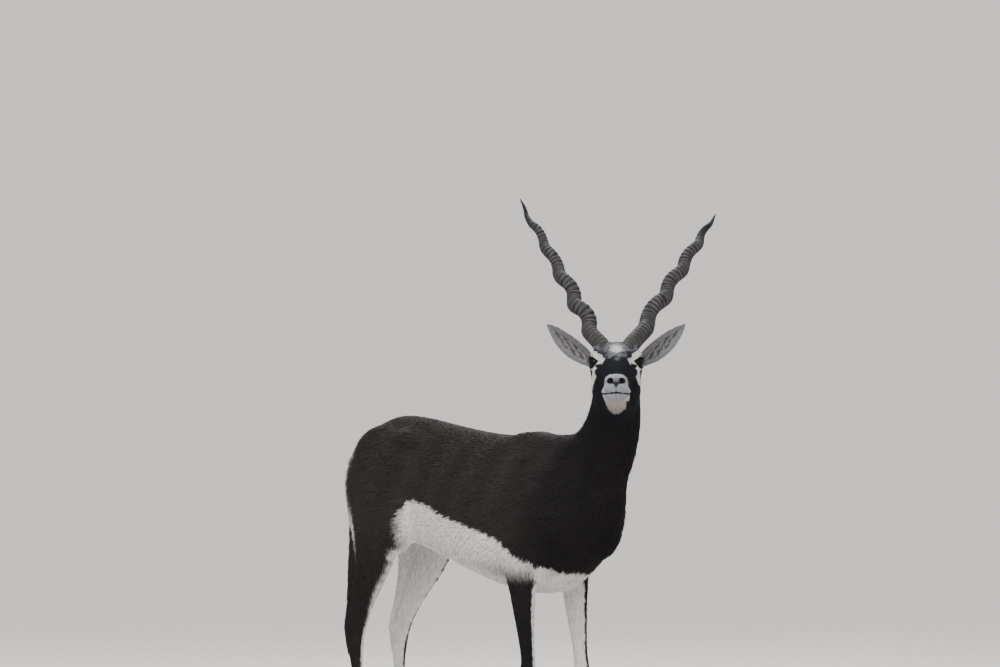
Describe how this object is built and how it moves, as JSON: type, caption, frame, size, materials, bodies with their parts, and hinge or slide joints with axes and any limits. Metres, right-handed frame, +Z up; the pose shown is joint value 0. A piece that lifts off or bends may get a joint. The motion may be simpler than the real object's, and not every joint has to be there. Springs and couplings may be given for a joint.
{
  "type": "blackbuck antelope figure",
  "caption": "Life-size still figure of an adult male blackbuck, standing on all four feet with its head raised and turned, and long ringed corkscrew horns.",
  "frame": {"origin": "on the floor under the middle of the bounding box, at the level of the soles", "axes": "+Z up, -Y the way the body faces, +X the animal's left"},
  "size_m": [0.5458, 1.0736, 1.2955],
  "materials": {
    "coat": "short fur, near black above and white below",
    "ear": "thin short fur",
    "eye": "wet gloss",
    "horn": "ringed horn",
    "hoof": "satin horn"
  },
  "bodies": {
    "root": {"head": "coat", "neck": "coat", "torso": "coat", "leg_front_left": "coat", "leg_front_right": "coat", "leg_hind_left": "coat", "leg_hind_right": "coat", "tail": "coat", "ear_left": "ear", "ear_right": "ear", "eye_left": "eye", "eye_right": "eye", "horn_left": "horn", "horn_right": "horn", "hoof_front_left_inner": "hoof", "hoof_front_left_outer": "hoof", "hoof_front_right_inner": "hoof", "hoof_front_right_outer": "hoof", "hoof_hind_left_inner": "hoof", "hoof_hind_left_outer": "hoof", "hoof_hind_right_inner": "hoof", "hoof_hind_right_outer": "hoof"}
  },
  "joints": []
}
